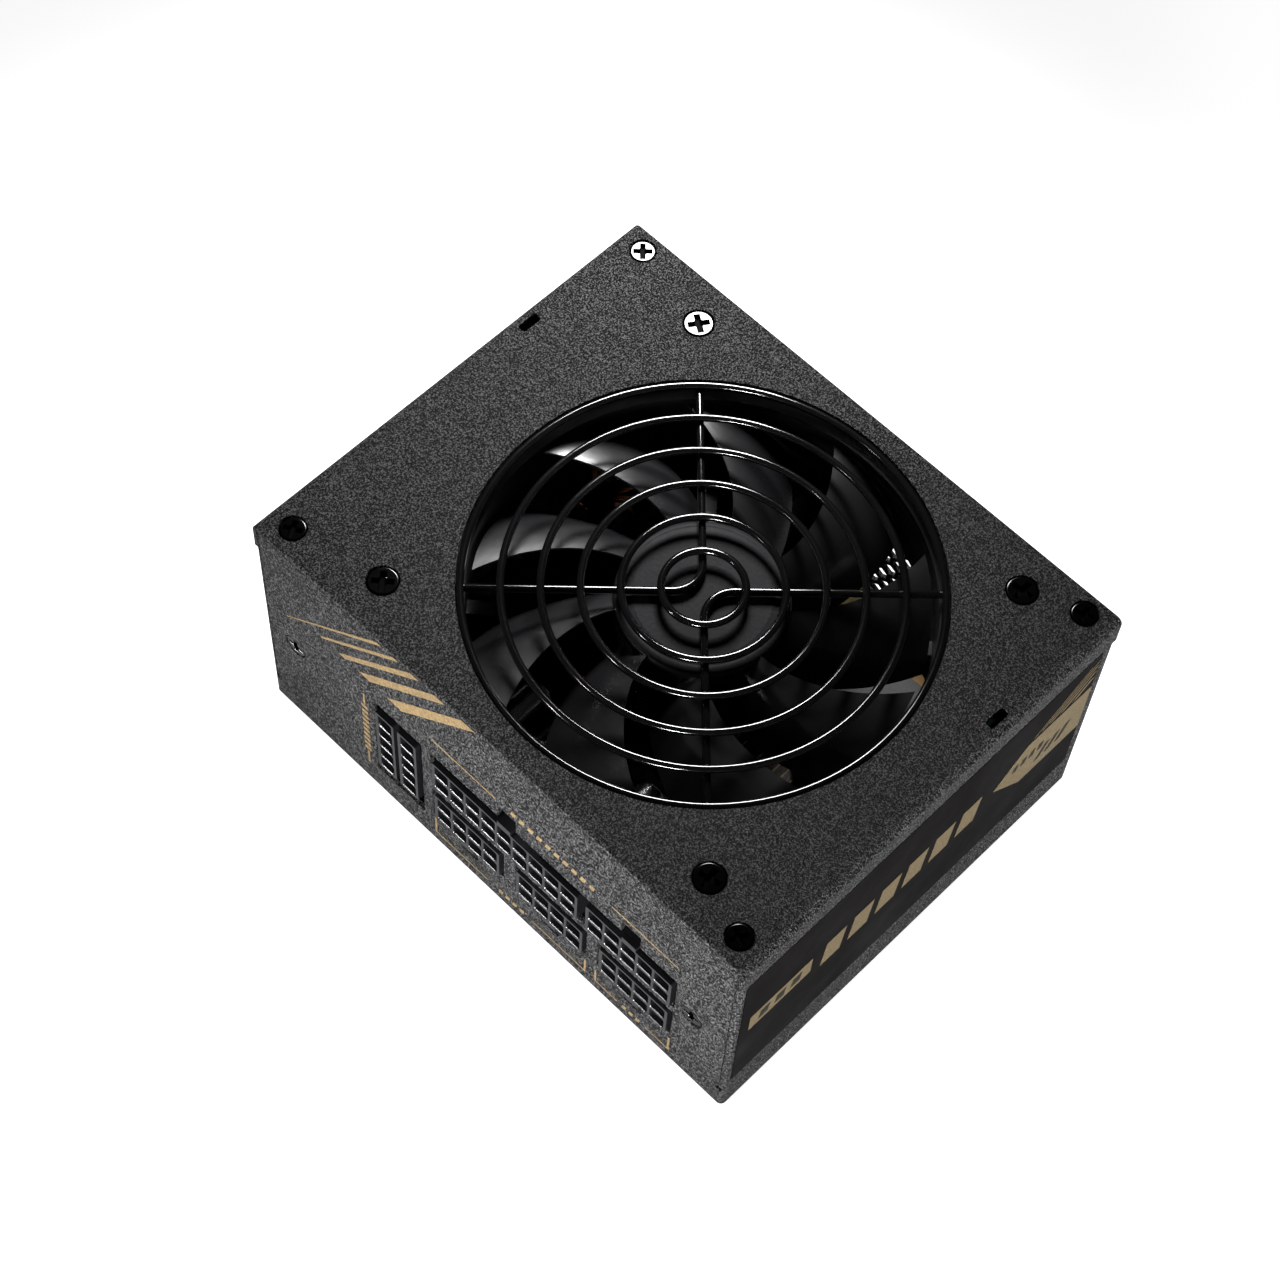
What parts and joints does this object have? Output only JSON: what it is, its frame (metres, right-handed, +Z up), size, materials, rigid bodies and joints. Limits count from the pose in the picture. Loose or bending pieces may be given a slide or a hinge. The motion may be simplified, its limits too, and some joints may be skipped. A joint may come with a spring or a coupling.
{
  "type": "power supply unit",
  "caption": "Boxy modular computer power supply with a wire-guarded top fan, output sockets on one side face, and a mains inlet with rocker switch opposite.",
  "frame": {"origin": "centre of the flat underside of the housing", "axes": "+Z up through the fan, +X towards the labelled side wall, +Y towards the mains face, -Y towards the output sockets"},
  "size_m": [0.125, 0.1036, 0.0635],
  "materials": {
    "base_chassis": "fine wrinkle powder coat",
    "top_cover": "fine wrinkle powder coat",
    "cover_screws": "black nickel plated steel",
    "fan_screws": "black nickel plated steel",
    "panel_screws": "black nickel plated steel",
    "fan_guard": "gloss black steel wire",
    "fan_frame": "black thermoplastic",
    "fan_rotor": "satin black thermoplastic",
    "rotor_yoke": "plain steel",
    "rotor_magnet": "bonded ferrite",
    "fan_shaft": "ground steel",
    "fan_bearing": "sintered bronze",
    "stator_core": "laminated steel",
    "stator_coils": "enamelled copper",
    "fan_circuit_board": "green circuit board",
    "side_label": "satin dark film with gold print",
    "rating_label": "satin dark film",
    "inlet_housing": "black thermoplastic",
    "inlet_pins": "nickel plated brass",
    "switch_frame": "black thermoplastic",
    "switch_rocker": "black thermoplastic",
    "switch_terminals": "tinned brass",
    "insulation_sheet": "black polyester sheet",
    "board_standoffs": "plain brass",
    "main_board": "green circuit board",
    "board_screws": "zinc plated steel",
    "filter_choke_core": "coated ferrite",
    "filter_choke_windings": "enamelled copper",
    "film_capacitor": "yellow moulded case",
    "disc_capacitors": "blue dipped ceramic",
    "fuse": "ceramic tube with sleeve",
    "thermistor": "dipped ceramic disc",
    "primary_heatsink": "extruded aluminium",
    "power_transistors": "moulded package with metal tab",
    "bridge_rectifier": "moulded package",
    "boost_choke_core": "coated powder core",
    "boost_choke_winding": "enamelled copper",
    "bulk_capacitor": "sleeved aluminium can",
    "transformer_core": "ferrite",
    "transformer_winding": "copper under tan tape",
    "transformer_base": "black bobbin base",
    "resonant_choke": "ferrite with yellow tape",
    "standby_transformer": "ferrite with yellow tape",
    "secondary_heatsink": "extruded aluminium",
    "output_capacitors": "sleeved aluminium cans",
    "control_board": "green circuit board",
    "converter_board": "green circuit board",
    "converter_chokes": "moulded powder chokes",
    "modular_board": "black circuit board",
    "socket_18_way": "black thermoplastic",
    "socket_10_way": "black thermoplastic",
    "sockets_8_way": "black thermoplastic",
    "sockets_5_way": "black thermoplastic",
    "socket_contacts": "tinned brass",
    "polymer_capacitors": "bare aluminium cans",
    "copper_bars": "plain copper",
    "mains_wires": "insulated wire",
    "ground_wire": "green and yellow insulated wire",
    "fan_cable": "insulated wire",
    "fan_plug": "white thermoplastic"
  },
  "bodies": {
    "housing": {"base_chassis": "base_chassis", "top_cover": "top_cover", "cover_screws": "cover_screws", "fan_screws": "fan_screws", "panel_screws": "panel_screws", "fan_guard": "fan_guard", "fan_frame": "fan_frame", "fan_bearing": "fan_bearing", "stator_core": "stator_core", "stator_coils": "stator_coils", "fan_circuit_board": "fan_circuit_board", "side_label": "side_label", "rating_label": "rating_label", "inlet_housing": "inlet_housing", "inlet_pins": "inlet_pins", "switch_frame": "switch_frame", "switch_terminals": "switch_terminals", "insulation_sheet": "insulation_sheet", "board_standoffs": "board_standoffs", "main_board": "main_board", "board_screws": "board_screws", "filter_choke_core": "filter_choke_core", "filter_choke_windings": "filter_choke_windings", "film_capacitor": "film_capacitor", "disc_capacitors": "disc_capacitors", "fuse": "fuse", "thermistor": "thermistor", "primary_heatsink": "primary_heatsink", "power_transistors": "power_transistors", "bridge_rectifier": "bridge_rectifier", "boost_choke_core": "boost_choke_core", "boost_choke_winding": "boost_choke_winding", "bulk_capacitor": "bulk_capacitor", "transformer_core": "transformer_core", "transformer_winding": "transformer_winding", "transformer_base": "transformer_base", "resonant_choke": "resonant_choke", "standby_transformer": "standby_transformer", "secondary_heatsink": "secondary_heatsink", "output_capacitors": "output_capacitors", "control_board": "control_board", "converter_board": "converter_board", "converter_chokes": "converter_chokes", "modular_board": "modular_board", "socket_18_way": "socket_18_way", "socket_10_way": "socket_10_way", "sockets_8_way": "sockets_8_way", "sockets_5_way": "sockets_5_way", "socket_contacts": "socket_contacts", "polymer_capacitors": "polymer_capacitors", "copper_bars": "copper_bars", "mains_wires": "mains_wires", "ground_wire": "ground_wire", "fan_cable": "fan_cable", "fan_plug": "fan_plug"},
    "fan_rotor": {"fan_rotor": "fan_rotor", "rotor_yoke": "rotor_yoke", "rotor_magnet": "rotor_magnet", "fan_shaft": "fan_shaft"},
    "switch_rocker": {"switch_rocker": "switch_rocker"}
  },
  "joints": [
    {"name": "fan_spin", "type": "hinge", "parent": "housing", "child": "fan_rotor", "pos_m": [0.00415, 0.0003, 0.0535], "axis": [0, 0, 1], "continuous": true},
    {"name": "switch_tilt", "type": "hinge", "parent": "housing", "child": "switch_rocker", "pos_m": [-0.015, 0.047, 0.022], "axis": [1, 0, 0], "range_deg": [0, 16]}
  ]
}
